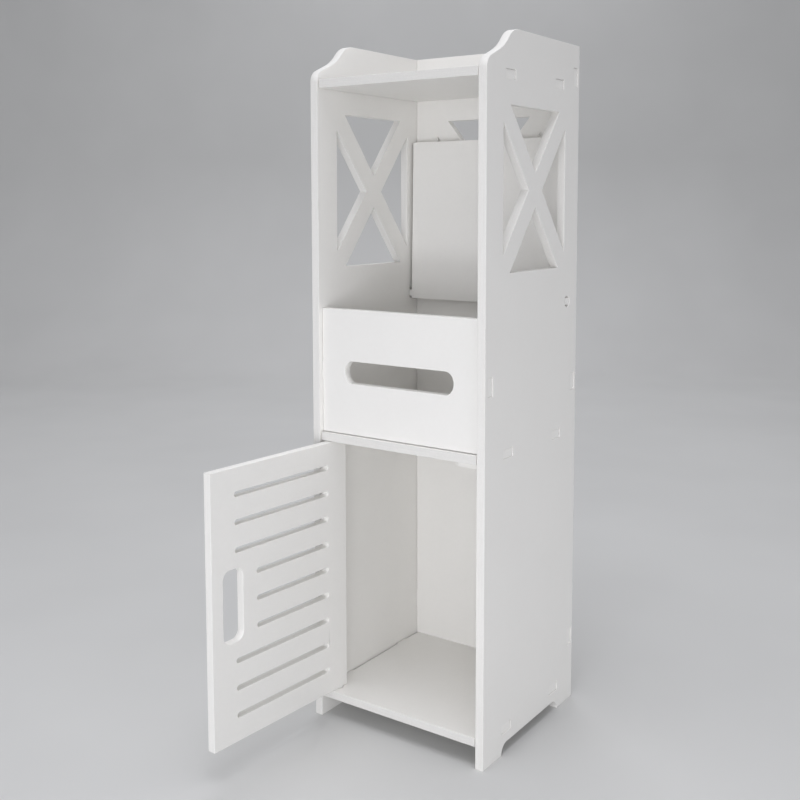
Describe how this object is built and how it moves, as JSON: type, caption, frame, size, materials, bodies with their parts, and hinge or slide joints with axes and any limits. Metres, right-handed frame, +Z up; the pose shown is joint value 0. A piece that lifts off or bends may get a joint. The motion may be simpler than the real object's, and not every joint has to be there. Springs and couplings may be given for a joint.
{
  "type": "linen cabinet",
  "caption": "Slim free-standing linen cabinet with a top tray, X-shaped windows, a lidded tissue box and a louvred door over a lower compartment.",
  "frame": {"origin": "outer rear bottom corner of the left side panel, at its rear foot's sole on the floor", "axes": "+X to the right seen from the front, +Y to the wall behind, +Z up"},
  "size_m": [0.234, 0.4016, 0.8],
  "materials": {
    "board": "satin white foamed board with slightly finer cut edges"
  },
  "bodies": {
    "carcass": {"side_panel_left": "board", "side_panel_right": "board", "back_panel": "board", "top_shelf": "board", "middle_shelf": "board", "bottom_shelf": "board", "tissue_front": "board", "door_stop": "board"},
    "tissue_lid": {"tissue_lid": "board"},
    "door": {"door": "board"}
  },
  "joints": [
    {"name": "lid_hinge", "type": "hinge", "parent": "carcass", "child": "tissue_lid", "pos_m": [0.117, -0.0257, 0.4984], "axis": [1, 0, 0], "range_deg": [-0.5, 91.2]},
    {"name": "door_hinge", "type": "hinge", "parent": "carcass", "child": "door", "pos_m": [0.0225, -0.2025, 0.186], "axis": [0, 0, 1], "range_deg": [-18, 94]}
  ]
}
